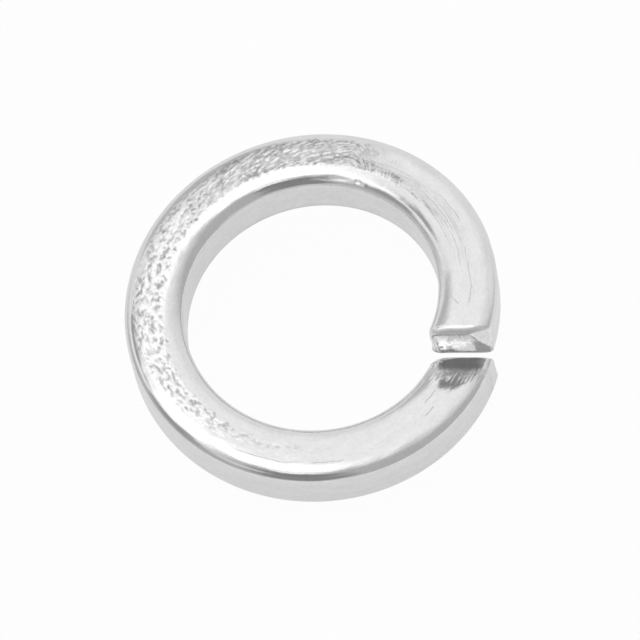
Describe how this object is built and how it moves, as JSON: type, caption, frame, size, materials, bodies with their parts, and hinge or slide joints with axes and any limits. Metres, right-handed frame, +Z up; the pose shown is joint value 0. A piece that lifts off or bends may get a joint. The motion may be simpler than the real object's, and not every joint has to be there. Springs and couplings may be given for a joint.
{
  "type": "spring lock washer",
  "caption": "Helical spring lock washer: a square-section steel ring with rounded edges, cut across by an oblique split whose ends stand apart in height.",
  "frame": {"origin": "on the bore's axis, level with the lowest point of the low end", "axes": "+Z up along the bore's axis, +X from the axis through the middle of the split; seen from +Z the ring climbs clockwise from its low end to its raised end"},
  "size_m": [0.0236, 0.0236, 0.0073],
  "materials": {
    "bright_steel": "bright plated spring steel, tumbled smooth, with a fine mottled grain on the flat faces and sheared ends"
  },
  "bodies": {
    "root": {"lock_washer": "bright_steel"}
  },
  "joints": []
}
